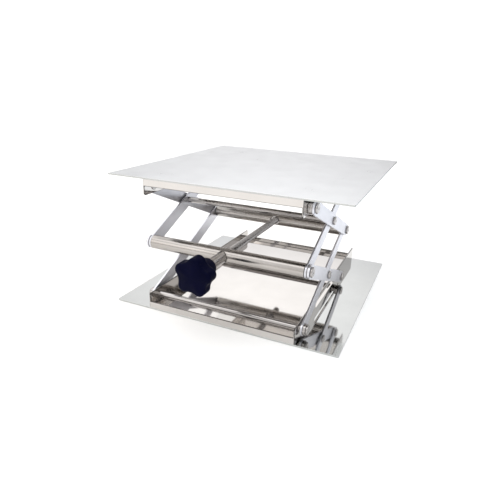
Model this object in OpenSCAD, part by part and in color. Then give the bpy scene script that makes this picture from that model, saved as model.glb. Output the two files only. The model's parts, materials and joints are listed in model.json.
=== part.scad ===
/* [Plates] */
// Width of the base plate and the top plate, left to right
plate_w = 200; // [180:5:240]
// Depth of both plates, front to rear
plate_d = 200; // [200:5:240]
// Sheet thickness of both plates
plate_t = 1.3; // [1:0.1:2]
// Radius on the corners of both plates
plate_corner_r = 1; // [0.5:0.5:4]
// Radius of the half-round notch in the rear edge of the top plate
notch_r = 2; // [1:0.5:4]
// Distance of the notch from the middle of the rear edge
notch_x = -4.5; // [-20:0.5:20]

/* [Trays] */
// Outside width of the folded tray on each plate
tray_w = 131.6; // [125:0.1:133]
// Sheet thickness of the trays
tray_t = 1.2; // [1:0.1:1.5]
// Height of the tray's side walls above the plate
side_wall_h = 13.2; // [12:0.1:16]
// Height of the tray's front and rear lips above the plate
lip_h = 5.5; // [3:0.1:6.5]
// Cut on the upper corners of the side walls
wall_chamfer = 1.5; // [1:0.5:4]
// Gap from the tray's lips to the edge of the plate
lip_setback = 0.2; // [0.2:0.1:2]

/* [Linkage] */
// Distance between the end pivots of an arm
arm_length = 123; // [115:0.5:127]
// Width of an arm
arm_w = 11; // [9:0.5:12]
// Thickness of an arm
arm_t = 1.6; // [1.2:0.1:1.8]
// Angle of the arms to the plates as the jack stands
lift_angle = 23.1; // [14:0.1:60]
// Lowest angle of the arms, with the jack folded down
lowest_angle = 10; // [10:0.5:14]
// Highest angle of the arms, with the jack fully raised
highest_angle = 68; // [60:0.5:70]
// Height of the pivots above the base plate, and below the top plate
pivot_h = 7.5; // [6.5:0.1:8]
// Place of the front pivots, measured from the middle of the plates
front_pivot_y = -87; // [-90:0.5:-84]

/* [Rods and pins] */
// Diameter of the cross rods and pivot pins
rod_d = 5; // [4:0.5:5.5]
// Diameter of the two bars at mid height
bar_d = 11.5; // [11:0.5:13]
// Diameter of the riveted heads
head_d = 8; // [7:0.5:9]
// Height of the riveted heads
head_h = 1.6; // [1.2:0.1:2]
// Outside diameter of the spacer bushes
spacer_d = 9.4; // [8:0.1:10]
// Head diameter of the rods at the crossing of the arms
centre_head_d = 7; // [6.5:0.5:8]

/* [Lead screw and knob] */
// Diameter of the lead screw over its thread
screw_d = 6; // [5:0.5:6.5]
// Place of the rear end of the lead screw
screw_end_y = 42; // [40:0.5:46]
// Diameter of the sleeve between the front bar and the knob
sleeve_d = 9; // [8:0.5:10]
// Place of the front end of the sleeve
sleeve_front_y = -113; // [-116:0.5:-108]
// Distance from the knob's middle to the tip of a lobe
knob_r = 14.9; // [14:0.1:15.9]
// Distance from the knob's middle to the bottom of a notch
knob_waist_r = 11.8; // [10.8:0.1:12]
// Thickness of the knob's star
knob_t = 12.5; // [10:0.5:16]
// Place of the knob's front face
knob_front_y = -138.5; // [-145:0.5:-136]
// Turn of the knob as it stands, from a lobe pointing straight up
knob_turn = 7; // [0:1:71]

/* [Hidden] */
$fn = 64;

// Colours
steel = "lightsteelblue";
bright_steel = "gainsboro";
plated = "silver";
brass = "goldenrod";
plastic = "midnightblue";

// Cutting tools reach this far past the face that they cut
past = 1;
// Radial clearance of a pin in a bore that turns on it
running = 0.06;
// Radial clearance where the closed linkage slides or is free
free = 0.2;

// Heights and places that follow from the arms' angle
rise = arm_length * sin(lift_angle);
reach = arm_length * cos(lift_angle);
base_pivot_z = plate_t + pivot_h;
mid_z = base_pivot_z + rise;
rear_pivot_y = front_pivot_y + reach;
centre_y = front_pivot_y + reach / 2;
lower_centre_z = base_pivot_z + rise / 2;
upper_centre_z = mid_z + rise / 2;

// Gaps between the layers at each side
wall_gap = 1.3;
arm_gap = 0.7;
bar_gap = 0.3;
layer_gap = 0.2;
washer_gap = 0.1;

// The layers at each side, from the tray's wall outwards
wall_x = tray_w / 2;
inner_arm_x = wall_x + wall_gap;
outer_arm_x = inner_arm_x + arm_t + arm_gap;
head_x = outer_arm_x + arm_t + layer_gap;
bar_half = inner_arm_x - bar_gap;

// The slots run a little past the slide rods' travel
slot_spare = 2;
slot_front_y = front_pivot_y + arm_length * cos(highest_angle) - slot_spare;
slot_rear_y = front_pivot_y + arm_length * cos(lowest_angle) + slot_spare;

// ---- shapes that repeat ----

// A cylinder along X from x0 to x1
module rod_x(x0, x1, d, y, z) {
    translate([x0, y, z]) rotate([0, 90, 0]) cylinder(d = d, h = x1 - x0);
}

// A cylinder along Y from y0 to y1, on the lead screw's axis
module rod_y(y0, y1, d) {
    translate([0, y0, mid_z]) rotate([-90, 0, 0]) cylinder(d = d, h = y1 - y0);
}

// Its children on the right, and mirrored on the left
module both_sides() {
    children();
    mirror([1, 0, 0]) children();
}

// Its children as they lie on the base, turned over onto the top plate
module turned_over() {
    translate([0, 0, 2 * mid_z]) mirror([0, 0, 1]) children();
}

// A plate with round corners, its lower face at z = 0
module corner_rounded_plate(w, d, t, r) {
    union() {
        translate([-w / 2, r - d / 2, 0]) cube([w, d - 2 * r, t]);
        translate([r - w / 2, -d / 2, 0]) cube([w - 2 * r, d, t]);
        for (sx = [-1, 1], sy = [-1, 1])
            translate([sx * (w / 2 - r), sy * (d / 2 - r), 0]) cylinder(r = r, h = t);
    }
}

// One side wall of a tray, with the front rod's hole and the slide rod's slot
module tray_wall() {
    y_end = plate_d / 2 - lip_setback;
    bore = rod_d + 2 * running;
    slot = rod_d + 2 * free;
    translate([wall_x - tray_t, 0, plate_t]) rotate([90, 0, 90]) linear_extrude(tray_t) difference() {
        polygon([[-y_end, 0], [y_end, 0], [y_end, side_wall_h - wall_chamfer],
            [y_end - wall_chamfer, side_wall_h], [wall_chamfer - y_end, side_wall_h],
            [-y_end, side_wall_h - wall_chamfer]]);
        translate([front_pivot_y, pivot_h]) circle(d = bore);
        translate([slot_front_y, pivot_h]) circle(d = slot);
        translate([slot_rear_y, pivot_h]) circle(d = slot);
        translate([slot_front_y, pivot_h - slot / 2]) square([slot_rear_y - slot_front_y, slot]);
    }
}

// A tray of folded sheet: a floor, two side walls and two low lips
module folded_tray() {
    y_end = plate_d / 2 - lip_setback;
    union() {
        translate([-wall_x, -y_end, plate_t]) cube([tray_w, 2 * y_end, tray_t]);
        for (y = [-y_end, y_end - tray_t])
            translate([-wall_x, y, plate_t]) cube([tray_w, tray_t, lip_h]);
        both_sides() tray_wall();
    }
}

// A flat arm with a round end and a bore at each pivot, on the right side
module arm(x, y, z, angle, end_clearance) {
    translate([x, y, z]) rotate([angle, 0, 0]) rotate([90, 0, 90]) linear_extrude(arm_t) difference() {
        union() {
            translate([0, -arm_w / 2]) square([arm_length, arm_w]);
            circle(d = arm_w);
            translate([arm_length, 0]) circle(d = arm_w);
        }
        circle(d = rod_d + 2 * running);
        translate([arm_length, 0]) circle(d = rod_d + 2 * end_clearance);
        translate([arm_length / 2, 0]) circle(d = rod_d + 2 * running);
    }
}

// A riveted head with a round edge and a punched centre, its flat face at x
module rivet_head(x, y, z, d) {
    edge = head_h * 0.45;
    bulge = edge * 0.3;
    dimple_r = d * 0.14;
    translate([x, y, z]) rotate([0, 90, 0]) rotate_extrude() polygon([[0, 0], [d / 2, 0],
        [d / 2, head_h - edge], [d / 2 - bulge, head_h - bulge], [d / 2 - edge, head_h],
        [dimple_r, head_h], [0, head_h - dimple_r]]);
}

// A cross rod with a riveted head at each end
module cross_rod(y, z, d = head_d) {
    union() {
        rod_x(-head_x, head_x, rod_d, y, z);
        both_sides() rivet_head(head_x, y, z, d);
    }
}

// A ring round a rod or a pin, on the right side
module ring(x0, x1, d, y, z) {
    difference() {
        rod_x(x0, x1, d, y, z);
        rod_x(x0 - past, x1 + past, rod_d + 2 * running, y, z);
    }
}

// A spacer bush in the layer of the inner arms
module inner_spacers(y, z) {
    both_sides() ring(wall_x + layer_gap, outer_arm_x - layer_gap, spacer_d, y, z);
}

// A spacer bush in the layer of the outer arms
module outer_spacers(y, z) {
    both_sides() ring(inner_arm_x + arm_t + layer_gap, head_x - layer_gap, spacer_d, y, z);
}

// Thin washers between the inner and the outer arms
module arm_washers(y, z, d) {
    both_sides() ring(inner_arm_x + arm_t + washer_gap, outer_arm_x - washer_gap, d, y, z);
}

// How far the end pins reach into a bar, and the room left behind them
pin_depth = 12;
pin_spare = 0.5;

// The pins in the ends of a bar, with a head outside the arms
module bar_pins(y) {
    both_sides() union() {
        rod_x(bar_half - pin_depth, head_x, rod_d, y, mid_z);
        rivet_head(head_x, y, mid_z, head_d);
    }
}

// A round bar with blind bores for its end pins
module bar_blank(y) {
    difference() {
        rod_x(-bar_half, bar_half, bar_d, y, mid_z);
        both_sides()
            rod_x(bar_half - pin_depth - pin_spare, bar_half + past, rod_d + 2 * running, y, mid_z);
    }
}

// ---- base ----

module base_plate() {
    color(bright_steel) corner_rounded_plate(plate_w, plate_d, plate_t, plate_corner_r);
}

module base_tray() {
    color(steel) folded_tray();
}

module base_front_rod() {
    color(plated) cross_rod(front_pivot_y, base_pivot_z);
}

module base_front_spacers() {
    color(plated) outer_spacers(front_pivot_y, base_pivot_z);
}

// ---- lower arms ----

module lower_inner_arm() {
    arm(inner_arm_x, front_pivot_y, base_pivot_z, lift_angle, running);
}

module lower_inner_arm_left() {
    color(steel) mirror([1, 0, 0]) lower_inner_arm();
}

module lower_inner_arm_right() {
    color(steel) lower_inner_arm();
}

module lower_outer_arm() {
    arm(outer_arm_x, front_pivot_y, mid_z, -lift_angle, running);
}

module lower_outer_arm_left() {
    color(steel) mirror([1, 0, 0]) lower_outer_arm();
}

module lower_outer_arm_right() {
    color(steel) lower_outer_arm();
}

module lower_centre_rod() {
    color(plated) cross_rod(centre_y, lower_centre_z, centre_head_d);
}

module lower_centre_washers() {
    color(plated) arm_washers(centre_y, lower_centre_z, centre_head_d);
}

module base_slide_rod() {
    color(plated) cross_rod(rear_pivot_y, base_pivot_z);
}

module base_slide_spacers() {
    color(plated) inner_spacers(rear_pivot_y, base_pivot_z);
}

// ---- bars at mid height ----

// The sleeve and its washer run in a counterbore at the front of the front bar,
// and the retaining ring lies in a shallow one behind it
counterbore_d = sleeve_d + 2 * free;
front_seat_y = front_pivot_y - 1.5;
back_seat_y = front_pivot_y + bar_d / 2 - 1.6;

module front_bar() {
    color(steel) difference() {
        bar_blank(front_pivot_y);
        rod_y(front_pivot_y - bar_d, front_pivot_y + bar_d, screw_d + 2 * running);
        rod_y(front_seat_y - bar_d, front_seat_y, counterbore_d);
        rod_y(back_seat_y, back_seat_y + bar_d, counterbore_d);
    }
}

module front_bar_pins() {
    color(plated) bar_pins(front_pivot_y);
}

module front_bar_washers() {
    color(plated) arm_washers(front_pivot_y, mid_z, spacer_d);
}

// The nut is a threaded bush across the rear bar
nut_d = 9;
nut_half_length = 4.4;

module rear_bar() {
    color(steel) difference() {
        bar_blank(rear_pivot_y);
        rod_y(rear_pivot_y - bar_d, rear_pivot_y + bar_d, nut_d + 2 * running);
    }
}

module rear_bar_pins() {
    color(plated) bar_pins(rear_pivot_y);
}

module rear_bar_washers() {
    color(plated) arm_washers(rear_pivot_y, mid_z, spacer_d);
}

module screw_nut() {
    color(plated) difference() {
        rod_y(rear_pivot_y - nut_half_length, rear_pivot_y + nut_half_length, nut_d);
        rod_y(rear_pivot_y - bar_d, rear_pivot_y + bar_d, screw_d + 2 * free);
    }
}

// ---- upper arms ----

module upper_inner_arm() {
    arm(inner_arm_x, front_pivot_y, mid_z, lift_angle, running);
}

module upper_inner_arm_left() {
    color(steel) mirror([1, 0, 0]) upper_inner_arm();
}

module upper_inner_arm_right() {
    color(steel) upper_inner_arm();
}

// The rear bore is the one that closes the linkage, so it is the free one
module upper_outer_arm() {
    arm(outer_arm_x, front_pivot_y, 2 * mid_z - base_pivot_z, -lift_angle, free);
}

module upper_outer_arm_left() {
    color(steel) mirror([1, 0, 0]) upper_outer_arm();
}

module upper_outer_arm_right() {
    color(steel) upper_outer_arm();
}

module upper_centre_rod() {
    color(plated) cross_rod(centre_y, upper_centre_z, centre_head_d);
}

module upper_centre_washers() {
    color(plated) arm_washers(centre_y, upper_centre_z, centre_head_d);
}

module top_slide_rod() {
    color(plated) turned_over() cross_rod(rear_pivot_y, base_pivot_z);
}

module top_slide_spacers() {
    color(plated) turned_over() outer_spacers(rear_pivot_y, base_pivot_z);
}

// ---- top ----

// The flat heads of the top's front pins, inside the tray's walls
flat_head_d = 6.4;
flat_head_h = 0.5;
flat_head_x = wall_x - tray_t - washer_gap;

// The top's front pivots are short pins, each riveted through its wall
module top_front_pins() {
    color(plated) turned_over() both_sides() union() {
        rod_x(flat_head_x, head_x, rod_d, front_pivot_y, base_pivot_z);
        rivet_head(head_x, front_pivot_y, base_pivot_z, head_d);
        rod_x(flat_head_x - flat_head_h, flat_head_x, flat_head_d, front_pivot_y, base_pivot_z);
    }
}

module top_front_spacers() {
    color(plated) turned_over() inner_spacers(front_pivot_y, base_pivot_z);
}

module top_tray() {
    color(steel) turned_over() folded_tray();
}

module top_plate() {
    color(bright_steel) turned_over() difference() {
        corner_rounded_plate(plate_w, plate_d, plate_t, plate_corner_r);
        translate([notch_x, plate_d / 2, -past]) cylinder(r = notch_r, h = plate_t + 2 * past);
    }
}

// ---- lead screw and knob ----

// The washer, the sleeve and the ring leave this gap at each face
seat_gap = 0.1;
washer_t = 0.8;
sleeve_back_y = front_seat_y - washer_t - 2 * seat_gap;
ring_t = 2.6;

// The knob's hub, the metal insert in it and the set screw through both
knob_hub_d = 15;
knob_back_y = knob_front_y + knob_t;
knob_hub_back_y = sleeve_front_y - 0.5;
insert_d = 9;
insert_depth = 12;
insert_front_y = knob_hub_back_y - insert_depth;
set_screw_y = knob_hub_back_y - 3.5;
set_screw_d = 3;
set_bore_d = 3.2;

module lead_screw() {
    tip = 1;
    inside_knob = 0.5;
    color(plated) union() {
        rod_y(insert_front_y + inside_knob, screw_end_y - tip, screw_d);
        translate([0, screw_end_y - tip, mid_z]) rotate([-90, 0, 0])
            cylinder(d1 = screw_d, d2 = screw_d - 2 * tip, h = tip);
    }
}

// The sleeve is fixed on the screw and bears on the front bar
module screw_sleeve() {
    color(plated) difference() {
        rod_y(sleeve_front_y, sleeve_back_y, sleeve_d);
        rod_y(sleeve_front_y - past, sleeve_back_y + past, screw_d + 2 * running);
    }
}

module thrust_washer() {
    color(brass) difference() {
        rod_y(front_seat_y - washer_t - seat_gap, front_seat_y - seat_gap, sleeve_d);
        rod_y(front_seat_y - washer_t - past, front_seat_y + past, screw_d + 2 * running);
    }
}

// The ring behind the front bar keeps the screw from moving forwards
module retaining_ring() {
    color(plated) difference() {
        rod_y(back_seat_y + seat_gap, back_seat_y + seat_gap + ring_t, sleeve_d);
        rod_y(back_seat_y - past, back_seat_y + ring_t + past, screw_d + 2 * running);
    }
}

// Outline of the star: round lobes, with a round notch between each two that runs into both
lobes = 5;
lobe_r = knob_r / 3;
lobe_place = knob_r - lobe_r;
half_pitch = 180 / lobes;
notch_span = lobe_r + lobe_place * cos(half_pitch) - knob_waist_r;
knob_notch_r = (lobe_place ^ 2 + knob_waist_r ^ 2 - lobe_r ^ 2
    - 2 * lobe_place * knob_waist_r * cos(half_pitch)) / (2 * notch_span);
notch_place = knob_waist_r + knob_notch_r;

module star_outline() {
    difference() {
        union() {
            polygon([for (i = [0 : 2 * lobes - 1])
                (i % 2 == 0 ? lobe_place : notch_place) * [sin(i * half_pitch), cos(i * half_pitch)]]);
            for (i = [0 : lobes - 1])
                rotate(2 * i * half_pitch) translate([0, lobe_place]) circle(r = lobe_r);
        }
        for (i = [0 : lobes - 1])
            rotate((2 * i + 1) * half_pitch) translate([0, notch_place]) circle(r = knob_notch_r);
    }
}

// Its children turned to the set screw's place, with their Z axis along it
module set_screw_axis() {
    translate([0, set_screw_y, mid_z]) rotate([0, 90 + knob_turn, 0]) children();
}

module star_knob() {
    color(plastic) difference() {
        union() {
            translate([0, knob_back_y, mid_z]) rotate([90, 0, 0]) linear_extrude(knob_t)
                rotate(-knob_turn) star_outline();
            rod_y(knob_back_y - past, knob_hub_back_y, knob_hub_d);
        }
        rod_y(insert_front_y, knob_hub_back_y + past, insert_d + 2 * running);
        set_screw_axis() cylinder(d = set_bore_d, h = knob_hub_d);
    }
}

module knob_insert() {
    color(brass) difference() {
        rod_y(insert_front_y + seat_gap, knob_hub_back_y, insert_d);
        rod_y(insert_front_y - past, knob_hub_back_y + past, screw_d + 2 * running);
        set_screw_axis() cylinder(d = set_bore_d, h = knob_hub_d);
    }
}

module knob_set_screw() {
    inner_end = screw_d / 2 + seat_gap;
    length = 3.6;
    socket_d = 1.6;
    socket_depth = 1.5;
    color(plated) set_screw_axis() difference() {
        translate([0, 0, inner_end]) cylinder(d = set_screw_d, h = length);
        translate([0, 0, inner_end + length - socket_depth])
            cylinder(d = socket_d, h = socket_depth + past, $fn = 6);
    }
}

base_plate();
base_tray();
base_front_rod();
base_front_spacers();
lower_inner_arm_left();
lower_inner_arm_right();
lower_outer_arm_left();
lower_outer_arm_right();
lower_centre_rod();
lower_centre_washers();
base_slide_rod();
base_slide_spacers();
front_bar();
front_bar_pins();
front_bar_washers();
rear_bar();
rear_bar_pins();
rear_bar_washers();
upper_inner_arm_left();
upper_inner_arm_right();
upper_outer_arm_left();
upper_outer_arm_right();
upper_centre_rod();
upper_centre_washers();
top_slide_rod();
top_slide_spacers();
top_front_pins();
top_front_spacers();
top_tray();
top_plate();
lead_screw();
screw_sleeve();
thrust_washer();
retaining_ring();
screw_nut();
star_knob();
knob_insert();
knob_set_screw();
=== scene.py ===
"""Looks of the lab jack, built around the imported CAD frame."""

import json
import math

import bmesh
import bpy
from mathutils import Matrix, Vector


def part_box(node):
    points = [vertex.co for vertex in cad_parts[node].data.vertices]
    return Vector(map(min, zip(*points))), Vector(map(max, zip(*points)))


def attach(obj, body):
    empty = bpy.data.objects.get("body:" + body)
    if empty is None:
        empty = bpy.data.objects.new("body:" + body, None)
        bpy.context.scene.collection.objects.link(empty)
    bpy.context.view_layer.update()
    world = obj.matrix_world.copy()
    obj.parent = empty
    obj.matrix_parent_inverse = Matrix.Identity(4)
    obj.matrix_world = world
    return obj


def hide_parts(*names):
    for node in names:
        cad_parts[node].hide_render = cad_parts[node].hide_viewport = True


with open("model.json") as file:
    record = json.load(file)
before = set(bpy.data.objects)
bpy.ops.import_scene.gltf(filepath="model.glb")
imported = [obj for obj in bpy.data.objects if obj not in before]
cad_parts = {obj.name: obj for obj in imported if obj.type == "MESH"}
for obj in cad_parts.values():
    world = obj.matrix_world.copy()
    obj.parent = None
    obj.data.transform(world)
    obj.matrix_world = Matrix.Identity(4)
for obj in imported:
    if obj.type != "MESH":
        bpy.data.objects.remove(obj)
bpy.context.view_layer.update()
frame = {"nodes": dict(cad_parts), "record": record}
record = frame["record"]
nodes = frame["nodes"]
body_of_node = {
    node: body for body, members in record["behaviour"]["bodies"].items() for node in members
}
slot_of_node = {part["node"]: part["material_slot"] for part in record["subparts"]}

MM = 0.001


# ---- materials -------------------------------------------------------------


def new_material(name):
    """An empty node material: (material, tree, principled shader)."""
    material = bpy.data.materials.new(name)
    material.use_nodes = True
    tree = material.node_tree
    tree.nodes.clear()
    output = tree.nodes.new("ShaderNodeOutputMaterial")
    shader = tree.nodes.new("ShaderNodeBsdfPrincipled")
    tree.links.new(shader.outputs["BSDF"], output.inputs["Surface"])
    return material, tree, shader


def object_coordinates(tree, scale=(1, 1, 1)):
    """The piece's own coordinates in metres, stretched by scale."""
    coordinates = tree.nodes.new("ShaderNodeTexCoord")
    mapping = tree.nodes.new("ShaderNodeMapping")
    mapping.inputs["Scale"].default_value = scale
    tree.links.new(coordinates.outputs["Object"], mapping.inputs["Vector"])
    return mapping.outputs["Vector"]


def noise(tree, vector, scale, detail=3.0, roughness=0.5):
    """A noise field's value output."""
    node = tree.nodes.new("ShaderNodeTexNoise")
    node.inputs["Scale"].default_value = scale
    node.inputs["Detail"].default_value = detail
    node.inputs["Roughness"].default_value = roughness
    tree.links.new(vector, node.inputs["Vector"])
    return node.outputs["Fac"]


def mapped(tree, value, low, high, start=0.3, end=0.7):
    """value from start..end taken to low..high."""
    node = tree.nodes.new("ShaderNodeMapRange")
    node.inputs["From Min"].default_value = start
    node.inputs["From Max"].default_value = end
    node.inputs["To Min"].default_value = low
    node.inputs["To Max"].default_value = high
    tree.links.new(value, node.inputs["Value"])
    return node.outputs["Result"]


def ramp_of(tree, value, stops):
    """Colours by value, from stops of (place, colour) in rising order."""
    ramp = tree.nodes.new("ShaderNodeValToRGB")
    first, *middle, last = stops
    for element, (place, colour) in zip(ramp.color_ramp.elements, (first, last)):
        element.position = place
        element.color = (*colour, 1)
    for place, colour in middle:
        ramp.color_ramp.elements.new(place).color = (*colour, 1)
    tree.links.new(value, ramp.inputs["Fac"])
    return ramp.outputs["Color"]


def mixed(tree, amount, first, second):
    """The colour first where amount is 0, and second where it is 1."""
    mix = tree.nodes.new("ShaderNodeMix")
    mix.data_type = "RGBA"
    tree.links.new(amount, mix.inputs["Factor"])
    tree.links.new(first, mix.inputs["A"])
    tree.links.new(second, mix.inputs["B"])
    return mix.outputs["Result"]


def bumped(tree, shader, value, distance, strength):
    """A bump of value on the shader's normal."""
    bump = tree.nodes.new("ShaderNodeBump")
    bump.inputs["Distance"].default_value = distance
    bump.inputs["Strength"].default_value = strength
    tree.links.new(value, bump.inputs["Height"])
    tree.links.new(bump.outputs["Normal"], shader.inputs["Normal"])


def face_direction(tree):
    """Of the face's own normal, its largest part on any axis and its upright part."""
    geometry = tree.nodes.new("ShaderNodeNewGeometry")
    absolute = tree.nodes.new("ShaderNodeVectorMath")
    absolute.operation = "ABSOLUTE"
    tree.links.new(geometry.outputs["True Normal"], absolute.inputs[0])
    split = tree.nodes.new("ShaderNodeSeparateXYZ")
    tree.links.new(absolute.outputs["Vector"], split.inputs[0])
    largest = split.outputs["X"]
    for part in ("Y", "Z"):
        greater = tree.nodes.new("ShaderNodeMath")
        greater.operation = "MAXIMUM"
        tree.links.new(largest, greater.inputs[0])
        tree.links.new(split.outputs[part], greater.inputs[1])
        largest = greater.outputs[0]
    return largest, split.outputs["Z"]


# Colour of a sheared plate's rim, and the painted shade and dark reflection laid along a folded
# tray's broken edges.
EDGE_COLOUR_AND_SHADE = {"plate": (0.52, 0.53, 0.52), "tray": (0.07, 0.065, 0.06)}


def rim_colour_and_painted_shade(tree, colour, kind):
    """colour, with a plate's whole rim in its cut colour and a tray's broken edges darkened by
    painted shade and dark reflection.
    """
    largest, upright = face_direction(tree)
    if kind == "plate":
        amount = mapped(tree, upright, 1.0, 0.0, 0.90, 0.99)
    else:
        # A tray's bevels are painted near black, standing in for shade and dark reflection at its
        # bends and lips.
        amount = mapped(tree, largest, 1.0, 0.0, 0.96, 0.99)
    edge = tree.nodes.new("ShaderNodeRGB")
    edge.outputs["Color"].default_value = (*EDGE_COLOUR_AND_SHADE[kind], 1)
    return mixed(tree, amount, colour, edge.outputs["Color"])


CLOUD_SCALE = 35.0
SMUDGE_SCALE = 60.0
GRAIN_HEIGHT = 0.01 * MM


def metal(name, colour, shade, roughness, grain, stretch=(1, 1, 1), strength=0.1, edge=None):
    """A bare metal: cloudy colour from colour to shade, uneven gloss, fine grain along stretch."""
    material, tree, shader = new_material(name)
    shader.inputs["Metallic"].default_value = 1.0
    clouds = noise(tree, object_coordinates(tree), CLOUD_SCALE, 4.0)
    tone = ramp_of(tree, clouds, ((0.3, colour), (0.7, shade)))
    if edge:
        # Plates get their rim colour; trays get painted shade along their broken edges.
        tone = rim_colour_and_painted_shade(tree, tone, edge)
    tree.links.new(tone, shader.inputs["Base Color"])
    fine = noise(tree, object_coordinates(tree, stretch), grain, 5.0, 0.6)
    smudges = noise(tree, object_coordinates(tree), SMUDGE_SCALE, 3.0)
    average = tree.nodes.new("ShaderNodeMix")
    average.inputs["Factor"].default_value = 0.5
    tree.links.new(fine, average.inputs["A"])
    tree.links.new(smudges, average.inputs["B"])
    low, high = roughness
    tree.links.new(mapped(tree, average.outputs["Result"], low, high), shader.inputs["Roughness"])
    bumped(tree, shader, fine, GRAIN_HEIGHT, strength)
    return material


ALONG_X = (0.05, 1, 1)
ALONG_Y = (1, 0.05, 1)

# Each metal's colour and shade, its lowest and highest roughness, and how fine its grain is.
METALS = {
    "top_sheet": ((0.935, 0.95, 0.955), (0.92, 0.935, 0.94), (0.27, 0.32), 900),
    "base_sheet": ((0.54, 0.545, 0.54), (0.51, 0.515, 0.51), (0.03, 0.07), 900),
    "tray_sheet": ((0.62, 0.595, 0.575), (0.58, 0.555, 0.535), (0.03, 0.08), 900),
    "arm_strip": ((0.71, 0.71, 0.75), (0.66, 0.66, 0.70), (0.34, 0.42), 500),
    "ground_bar": ((0.45, 0.425, 0.405), (0.40, 0.375, 0.355), (0.18, 0.26), 1500),
    "plated": ((0.43, 0.41, 0.40), (0.385, 0.365, 0.355), (0.10, 0.18), 900),
    "thread_steel": ((0.34, 0.325, 0.32), (0.29, 0.28, 0.275), (0.20, 0.32), 1200),
    "brass": ((0.55, 0.50, 0.43), (0.49, 0.44, 0.38), (0.18, 0.30), 1200),
}
METAL_EXTRAS = {
    "top_sheet": {"stretch": ALONG_Y, "edge": "plate"},
    "base_sheet": {"stretch": ALONG_Y, "edge": "plate"},
    "tray_sheet": {"stretch": ALONG_X, "edge": "tray"},
    "arm_strip": {"strength": 0.05},
    "ground_bar": {"stretch": ALONG_X},
    "brass": {"stretch": ALONG_Y},
}
MATERIALS = {
    name: metal(name, *values, **METAL_EXTRAS.get(name, {})) for name, values in METALS.items()
}

PLASTIC = (0.0011, 0.0015, 0.009)
PLASTIC_SHADE = (0.0020, 0.0023, 0.014)
SKIN_SCALE = 2600.0
SKIN_HEIGHT = 0.03 * MM


def knob_plastic():
    """Dark blue moulded plastic with a fine satin skin."""
    material, tree, shader = new_material("knob_plastic")
    place = object_coordinates(tree)
    clouds = noise(tree, place, 90.0, 4.0)
    colour = ramp_of(tree, clouds, ((0.3, PLASTIC), (0.7, PLASTIC_SHADE)))
    tree.links.new(colour, shader.inputs["Base Color"])
    skin = noise(tree, place, SKIN_SCALE, 2.0)
    tree.links.new(mapped(tree, clouds, 0.34, 0.48), shader.inputs["Roughness"])
    shader.inputs["IOR"].default_value = 1.45
    shader.inputs["Specular IOR Level"].default_value = 0.045
    shader.inputs["Specular Tint"].default_value = (0.6, 0.6, 1.0, 1)
    bumped(tree, shader, skin, SKIN_HEIGHT, 0.35)
    return material


MATERIALS["knob_plastic"] = knob_plastic()

MATERIAL_OF_SLOT = {
    "sheet_steel": "tray_sheet",
    "arm_steel": "arm_strip",
    "bar_steel": "ground_bar",
    "plated_rod": "plated",
    "screw_steel": "thread_steel",
    "brass": "brass",
    "knob_plastic": "knob_plastic",
}
MATERIAL_OF_NODE = {"top_plate": "top_sheet", "base_plate": "base_sheet"}


# ---- pieces ----------------------------------------------------------------


def add_piece(name, mesh_builder, node, material):
    """Makes an object of a bmesh that stands for a CAD node and moves with its body."""
    mesh = bpy.data.meshes.new(name)
    mesh_builder.to_mesh(mesh)
    mesh_builder.free()
    piece = bpy.data.objects.new(name, mesh)
    bpy.context.scene.collection.objects.link(piece)
    mesh.materials.append(material)
    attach(piece, body_of_node[node])
    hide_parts(node)
    return piece


def shade_smooth(mesh, degrees):
    """Smooth faces, with edges steeper than this kept crisp."""
    for face in mesh.polygons:
        face.use_smooth = True
    mesh.set_sharp_from_angle(angle=math.radians(degrees))


# How far each node's edges are broken, in mm; every other node takes the usual width.
EDGE_BREAK = {
    "base_plate": 0.15,
    "top_plate": 0.15,
    "base_tray": 0.45,
    "top_tray": 0.45,
    "front_bar": 0.5,
    "rear_bar": 0.5,
    "knob_set_screw": 0.1,
    "lower_centre_washers": 0.1,
    "upper_centre_washers": 0.1,
    "front_bar_washers": 0.1,
    "rear_bar_washers": 0.1,
    "thrust_washer": 0.15,
}
USUAL_BREAK = 0.25
ARM_BREAK = 0.32
BREAK_SEGMENTS = 3

# Faces closer to one plane than FLAT are joined, and edges steeper than CREASE are broken.
FLAT_DEGREES = 0.3
CREASE_DEGREES = 33
SMOOTH_DEGREES = 38
WELD = 2e-6


def middle_height(node):
    """The height of the middle of a node."""
    low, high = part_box(node)
    return (low[2] + high[2]) / 2


# Height of each tray's weld to its plate, and of the middle of its slots.
TRAY_LEVELS = {
    "base_tray": (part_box("base_plate")[1][2], middle_height("base_slide_rod")),
    "top_tray": (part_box("top_plate")[0][2], middle_height("top_slide_rod")),
}
WELD_REACH = 0.02 * MM
SLOT_REACH = 3.0 * MM
SLOT_Y_LIMIT = 92 * MM


def stays_sharp(edge, node):
    """Whether an edge of a tray lies on its plate, or round a slot or a hole."""
    if node not in TRAY_LEVELS:
        return False
    weld, slot = TRAY_LEVELS[node]
    on_plate = all(abs(vert.co.z - weld) < WELD_REACH for vert in edge.verts)
    round_slot = all(
        abs(vert.co.z - slot) < SLOT_REACH and abs(vert.co.y) < SLOT_Y_LIMIT for vert in edge.verts
    )
    return on_plate or round_slot


def break_edges(bm, node):
    """Joins the flat faces of a node's own mesh and breaks its creases."""
    bmesh.ops.remove_doubles(bm, verts=bm.verts[:], dist=WELD)
    bmesh.ops.dissolve_limit(
        bm,
        angle_limit=math.radians(FLAT_DEGREES),
        verts=bm.verts[:],
        edges=bm.edges[:],
        delimit={"NORMAL"},
    )
    creases = [
        edge
        for edge in bm.edges
        if len(edge.link_faces) == 2
        and edge.calc_face_angle(0) > math.radians(CREASE_DEGREES)
        and not stays_sharp(edge, node)
    ]
    width = EDGE_BREAK.get(node, ARM_BREAK if "_arm_" in node else USUAL_BREAK) * MM
    bmesh.ops.bevel(
        bm,
        geom=creases,
        offset=width,
        offset_type="OFFSET",
        segments=BREAK_SEGMENTS,
        profile=0.5,
        affect="EDGES",
        clamp_overlap=True,
    )


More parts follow.
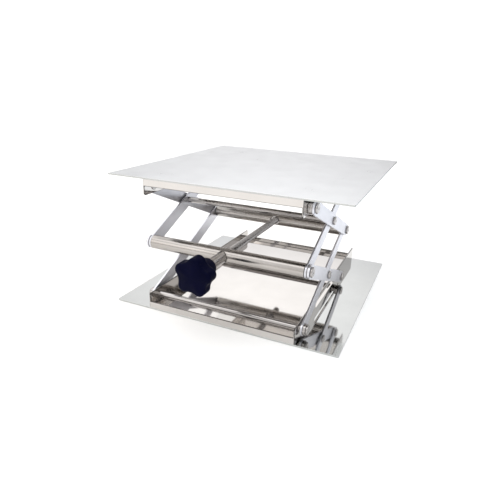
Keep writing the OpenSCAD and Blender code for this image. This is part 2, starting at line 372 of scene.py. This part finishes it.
def refined(node):
    """The node's own shape with its edges broken, as a new piece with clean flat faces."""
    bm = bmesh.new()
    bm.from_mesh(nodes[node].data)
    break_edges(bm, node)
    for layer in list(bm.loops.layers.float_vector):
        bm.loops.layers.float_vector.remove(layer)
    material = MATERIALS[MATERIAL_OF_NODE.get(node, MATERIAL_OF_SLOT.get(slot_of_node[node]))]
    piece = add_piece(node + "_shown", bm, node, material)
    if "custom_normal" in piece.data.attributes:
        piece.data.attributes.remove(piece.data.attributes["custom_normal"])
    shade_smooth(piece.data, SMOOTH_DEGREES)
    weighted = piece.modifiers.new("flat_faces", "WEIGHTED_NORMAL")
    weighted.mode = "FACE_AREA"
    weighted.weight = 100
    weighted.keep_sharp = True


# ---- star knob -------------------------------------------------------------

knob_low, knob_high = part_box("star_knob")
AXIS_Z = middle_height("lead_screw")
KNOB_FRONT = knob_low[1]
KNOB_HUB_BACK = knob_high[1]
KNOB_R = 14.9 * MM
KNOB_WAIST_R = 11.8 * MM
KNOB_BACK = KNOB_FRONT + 12.5 * MM
KNOB_HUB_R = 7.5 * MM
KNOB_BORE_R = 4.6 * MM
KNOB_BORE_DEPTH = 3.0 * MM
KNOB_TURN = math.radians(7)

# The outline: round lobes, and round notches that run into both lobes beside them.
LOBES = 5
HALF_PITCH = math.pi / LOBES
LOBE_R = KNOB_R / 3
LOBE_PLACE = KNOB_R - LOBE_R
NOTCH_SPAN = LOBE_R + LOBE_PLACE * math.cos(HALF_PITCH) - KNOB_WAIST_R
NOTCH_R = (
    LOBE_PLACE**2
    + KNOB_WAIST_R**2
    - LOBE_R**2
    - 2 * LOBE_PLACE * KNOB_WAIST_R * math.cos(HALF_PITCH)
) / (2 * NOTCH_SPAN)
NOTCH_PLACE = KNOB_WAIST_R + NOTCH_R

# Round edges at the front and back of the star, and the height of its crowned face.
FRONT_ROUND = 3.0 * MM
BACK_ROUND = 2.2 * MM
CROWN = 0.9 * MM
POINTS_PER_LOBE = 40
FACE_RINGS = 8
FRONT_STEPS = 8
BACK_STEPS = 7


def direction_at(angle):
    """The direction at angle from straight up."""
    return Vector((math.sin(angle), math.cos(angle)))


def star_point(lobe, share):
    """The star's point and normal at share 0..1 of the way from one lobe's tip to the next."""
    lobe_c = Vector((0, LOBE_PLACE))
    notch_axis = direction_at(HALF_PITCH)
    notch_c = NOTCH_PLACE * notch_axis
    to_notch = (notch_c - lobe_c).normalized()
    lobe_arc = math.atan2(to_notch.x, to_notch.y)
    lobe_length = LOBE_R * lobe_arc
    notch_length = NOTCH_R * (lobe_arc - HALF_PITCH)
    mirrored = share > 0.5
    along = 2 * (1 - share if mirrored else share) * (lobe_length + notch_length)
    if along <= lobe_length:
        normal = direction_at(along / LOBE_R)
        point = lobe_c + LOBE_R * normal
    else:
        normal = direction_at(lobe_arc - (along - lobe_length) / NOTCH_R)
        point = notch_c - NOTCH_R * normal
    if mirrored:
        point = 2 * point.dot(notch_axis) * notch_axis - point
        normal = 2 * normal.dot(notch_axis) * notch_axis - normal
    turn = Matrix.Rotation(-(2 * HALF_PITCH * lobe + KNOB_TURN), 2)
    return turn @ point, turn @ normal


def star_rings():
    """(scale, inset, y) of each ring of the star, from its crowned face to its back."""
    rings = []
    for k in range(1, FACE_RINGS + 1):
        scale = k / (FACE_RINGS + 1)
        rings.append((scale, FRONT_ROUND, KNOB_FRONT + CROWN * scale**2))
    for k in range(FRONT_STEPS + 1):
        a = math.radians(90) * k / FRONT_STEPS
        depth = CROWN + (FRONT_ROUND - CROWN) * (1 - math.cos(a))
        rings.append((1, FRONT_ROUND * (1 - math.sin(a)), KNOB_FRONT + depth))
    for k in range(BACK_STEPS + 1):
        a = math.radians(90) * k / BACK_STEPS
        depth = BACK_ROUND * (1 - math.sin(a))
        rings.append((1, BACK_ROUND * (1 - math.cos(a)), KNOB_BACK - depth))
    return rings


# (radius, y) from the star's back to the boss, along the boss and into its bore.
BOSS_RINGS = (
    (KNOB_HUB_R + 1.6 * MM, KNOB_BACK),
    (KNOB_HUB_R + 0.4 * MM, KNOB_BACK + 0.5 * MM),
    (KNOB_HUB_R, KNOB_BACK + 1.6 * MM),
    (KNOB_HUB_R - 0.15 * MM, KNOB_HUB_BACK - 1.0 * MM),
    (KNOB_HUB_R - 0.45 * MM, KNOB_HUB_BACK - 0.3 * MM),
    (KNOB_HUB_R - 1.1 * MM, KNOB_HUB_BACK),
    (KNOB_BORE_R, KNOB_HUB_BACK),
    (KNOB_BORE_R, KNOB_HUB_BACK - KNOB_BORE_DEPTH),
)


def build_star_knob():
    """A moulded star knob: crowned face, round edges, a boss behind with a bore."""
    shares = [i / POINTS_PER_LOBE for i in range(POINTS_PER_LOBE)]
    outline = [star_point(lobe, share) for lobe in range(LOBES) for share in shares]
    rings = [
        ([(point - inset * normal) * scale for point, normal in outline], y)
        for scale, inset, y in star_rings()
    ]
    rings += [
        ([point.normalized() * radius for point, _normal in outline], y)
        for radius, y in BOSS_RINGS
    ]
    bm = bmesh.new()
    loops = [[bm.verts.new((p.x, y, AXIS_Z + p.y)) for p in ring] for ring, y in rings]
    middle = bm.verts.new((0, KNOB_FRONT, AXIS_Z))
    count = len(outline)
    for i in range(count):
        bm.faces.new((middle, loops[0][(i + 1) % count], loops[0][i]))
    for first, second in zip(loops, loops[1:]):
        for i in range(count):
            j = (i + 1) % count
            bm.faces.new((first[i], first[j], second[j], second[i]))
    bmesh.ops.recalc_face_normals(bm, faces=bm.faces[:])
    piece = add_piece("star_knob_shown", bm, "star_knob", MATERIALS["knob_plastic"])
    shade_smooth(piece.data, 50)


# ---- lead screw ------------------------------------------------------------

SCREW_R = 3.0 * MM
THREAD_CORE_R = 2.45 * MM
THREAD_PITCH = 1.0 * MM
# The ridge's outline over one pitch: (share of the pitch, height from core to crest).
THREAD_OUTLINE = ((0.14, 0.0), (0.42, 1.0), (0.58, 1.0), (0.86, 0.0))
# How far the ridge's foot lies inside the core.
THREAD_SINK = 0.02 * MM
CHAMFER = 0.4 * MM
TIP_LENGTH = 0.9 * MM
TIP_DROP = 0.7 * MM


def lathe(bm, profile, steps=48):
    """Turns a profile of (y, radius) about the lead screw's axis, with a face at each end."""
    rows = []
    for y, radius in profile:
        row = []
        for i in range(steps):
            a = 2 * math.pi * i / steps
            row.append(bm.verts.new((radius * math.cos(a), y, AXIS_Z + radius * math.sin(a))))
        rows.append(row)
    for first, second in zip(rows, rows[1:]):
        for i in range(steps):
            j = (i + 1) % steps
            bm.faces.new((first[i], second[i], second[j], first[j]))
    bm.faces.new(rows[0][::-1])
    bm.faces.new(rows[-1])


def helix(bm, y_start, y_end, steps=28):
    """A thread ridge wound from y_start to y_end, running out over the last turn at each end."""
    total = int(round((y_end - y_start) / THREAD_PITCH)) * steps
    stations = []
    for i in range(total + 1):
        a = 2 * math.pi * i / steps
        y = y_start + THREAD_PITCH * i / steps
        run_out = min(1.0, i / steps, (total - i) / steps)
        station = []
        for share, height in THREAD_OUTLINE:
            radius = THREAD_CORE_R + (SCREW_R - THREAD_CORE_R) * height * run_out
            if height == 0:
                radius -= THREAD_SINK
            x, z = radius * math.sin(a), AXIS_Z + radius * math.cos(a)
            station.append(bm.verts.new((x, y + share * THREAD_PITCH, z)))
        stations.append(station)
    for first, second in zip(stations, stations[1:]):
        for k in range(len(THREAD_OUTLINE) - 1):
            bm.faces.new((first[k], first[k + 1], second[k + 1], second[k]))


def build_lead_screw():
    """A plain shank that becomes a threaded rod behind the retaining ring."""
    screw_low, screw_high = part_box("lead_screw")
    front, rear = screw_low[1], screw_high[1]
    thread_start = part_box("retaining_ring")[1][1] - CHAMFER
    bm = bmesh.new()
    lathe(
        bm,
        [
            (front, SCREW_R - CHAMFER),
            (front + CHAMFER, SCREW_R),
            (thread_start - CHAMFER, SCREW_R),
            (thread_start, THREAD_CORE_R),
            (rear - TIP_LENGTH, THREAD_CORE_R),
            (rear, THREAD_CORE_R - TIP_DROP),
        ],
    )
    helix(bm, thread_start, rear - TIP_LENGTH - THREAD_PITCH)
    bmesh.ops.recalc_face_normals(bm, faces=bm.faces[:])
    piece = add_piece("lead_screw_shown", bm, "lead_screw", MATERIALS["thread_steel"])
    shade_smooth(piece.data, 30)


OWN_SHAPES = {"star_knob": build_star_knob, "lead_screw": build_lead_screw}
for node_name in sorted(nodes):
    if node_name in OWN_SHAPES:
        OWN_SHAPES[node_name]()
    else:
        refined(node_name)


# ---- floor, light and camera -----------------------------------------------

# Painted light on the floor: a warm tint on the left and a cool tint on the right, like the lamps
# on each side.
FLOOR_WARM_LIGHT_PAINT = (0.84, 0.83, 0.815)
FLOOR_COOL_LIGHT_PAINT = (0.78, 0.83, 0.88)
FLOOR_RADIUS = 0.8
FLOOR_Z = -0.2 * MM


def pale_floor():
    """A matt pale floor, with painted warm light on the left and painted cool light on the right.
    """
    material, tree, shader = new_material("floor")
    split = tree.nodes.new("ShaderNodeSeparateXYZ")
    tree.links.new(object_coordinates(tree), split.inputs[0])
    sideways = mapped(tree, split.outputs["X"], 0.0, 1.0, 0.0, 0.3)
    # The painted light goes from warm to cool across the floor, from the middle to 0.3 m to the
    # right.
    colour = ramp_of(tree, sideways, ((0.0, FLOOR_WARM_LIGHT_PAINT), (1.0, FLOOR_COOL_LIGHT_PAINT)))
    tree.links.new(colour, shader.inputs["Base Color"])
    clouds = noise(tree, object_coordinates(tree), 3.0)
    tree.links.new(mapped(tree, clouds, 0.85, 0.95), shader.inputs["Roughness"])
    shader.inputs["Specular IOR Level"].default_value = 0.2
    shader.inputs["Emission Color"].default_value = (1, 1, 1, 1)
    shader.inputs["Emission Strength"].default_value = 0.12
    return material


def build_floor():
    """A round pale floor just under the jack."""
    bm = bmesh.new()
    bmesh.ops.create_circle(bm, cap_ends=True, segments=96, radius=FLOOR_RADIUS)
    mesh = bpy.data.meshes.new("floor")
    bm.to_mesh(mesh)
    bm.free()
    floor = bpy.data.objects.new("floor", mesh)
    floor.location = (0, 0, FLOOR_Z)
    bpy.context.scene.collection.objects.link(floor)
    mesh.materials.append(pale_floor())


def area_light(name, place, target, size, power, colour=(1, 1, 1)):
    """A soft rectangular light at place that shines towards target."""
    data = bpy.data.lights.new(name, "AREA")
    data.shape = "RECTANGLE"
    data.size, data.size_y = size
    data.energy = power
    data.color = colour
    light = bpy.data.objects.new(name, data)
    light.location = place
    direction = Vector(target) - Vector(place)
    light.rotation_euler = direction.to_track_quat("-Z", "Y").to_euler()
    bpy.context.scene.collection.objects.link(light)


# Colours of the surroundings by height, from the horizon (0) to straight up (1).
BEHIND = (
    (0.0, (0.05, 0.04, 0.04)),
    (0.12, (0.07, 0.06, 0.06)),
    (0.27, (0.30, 0.30, 0.31)),
    (0.42, (0.52, 0.52, 0.52)),
    (0.70, (0.72, 0.72, 0.72)),
    (1.0, (1.0, 1.0, 1.0)),
)
IN_FRONT = (
    (0.0, (0.56, 0.55, 0.54)),
    (0.45, (0.60, 0.60, 0.60)),
    (0.70, (0.66, 0.66, 0.66)),
    (1.0, (1.0, 1.0, 1.0)),
)
# Strength of the surroundings, and in the middle of a large soft panel behind on the left.
USUAL_STRENGTH = 1.85
PANEL_STRENGTH = 3.1
PANEL_DIRECTION = Vector((-0.37, 0.88, 0.30)).normalized()
BACKDROP_STRENGTH = 1.1


def build_world():
    """A pale studio that is darker low down behind the jack, with a white backdrop."""
    world = bpy.data.worlds.new("studio")
    world.use_nodes = True
    bpy.context.scene.world = world
    tree = world.node_tree
    tree.nodes.clear()
    output = tree.nodes.new("ShaderNodeOutputWorld")
    background = tree.nodes.new("ShaderNodeBackground")
    direction = tree.nodes.new("ShaderNodeTexCoord").outputs["Generated"]
    split = tree.nodes.new("ShaderNodeSeparateXYZ")
    tree.links.new(direction, split.inputs[0])
    behind = ramp_of(tree, split.outputs["Z"], BEHIND)
    in_front = ramp_of(tree, split.outputs["Z"], IN_FRONT)
    front_share = mapped(tree, split.outputs["Y"], 1.0, 0.0, -0.5, 0.1)
    tree.links.new(mixed(tree, front_share, behind, in_front), background.inputs["Color"])
    toward = tree.nodes.new("ShaderNodeVectorMath")
    toward.operation = "DOT_PRODUCT"
    toward.inputs[1].default_value = PANEL_DIRECTION
    tree.links.new(direction, toward.inputs[0])
    panel = mapped(tree, toward.outputs["Value"], USUAL_STRENGTH, PANEL_STRENGTH, 0.91, 1.0)
    tree.links.new(panel, background.inputs["Strength"])
    backdrop = tree.nodes.new("ShaderNodeBackground")
    backdrop.inputs["Color"].default_value = (1, 1, 1, 1)
    backdrop.inputs["Strength"].default_value = BACKDROP_STRENGTH
    path = tree.nodes.new("ShaderNodeLightPath")
    mix = tree.nodes.new("ShaderNodeMixShader")
    tree.links.new(path.outputs["Is Camera Ray"], mix.inputs["Fac"])
    tree.links.new(background.outputs[0], mix.inputs[1])
    tree.links.new(backdrop.outputs[0], mix.inputs[2])
    tree.links.new(mix.outputs[0], output.inputs["Surface"])


CAMERA_PLACE = (0.1504, -0.3774, 0.1853)
CAMERA_RIGHT = Vector((0.9093, 0.4152, 0.0265))
CAMERA_FORWARD = Vector((-0.3801, 0.8549, -0.3531)) + 0.0011 * CAMERA_RIGHT
SENSOR_WIDTH = 36.0
FOCAL_LENGTH = 31.98


def build_camera():
    """The camera in front of the jack, to the right and above it."""
    data = bpy.data.cameras.new("camera")
    data.sensor_width = SENSOR_WIDTH
    data.lens = FOCAL_LENGTH
    camera = bpy.data.objects.new("camera", data)
    forward = CAMERA_FORWARD.normalized()
    right = (CAMERA_RIGHT - CAMERA_RIGHT.dot(forward) * forward).normalized()
    up = right.cross(forward).normalized()
    turn = Matrix((right, up, -forward)).transposed().to_4x4()
    camera.matrix_world = Matrix.Translation(CAMERA_PLACE) @ turn
    bpy.context.scene.collection.objects.link(camera)
    bpy.context.scene.camera = camera


LIGHT_TARGET = (0, 0, 0.06)

build_floor()
build_world()
area_light("overhead", (-0.3, 0.0, 1.7), (0, 0, 0.05), (2.2, 2.2), 8.4)
area_light("front_left", (-1.1, -1.3, 0.7), LIGHT_TARGET, (0.9, 0.7), 1.9, (1.0, 0.97, 0.93))
area_light("right", (1.5, -0.4, 0.6), LIGHT_TARGET, (0.9, 0.7), 1.6, (0.93, 0.96, 1.0))
build_camera()
bpy.context.scene.view_settings.view_transform = "Standard"
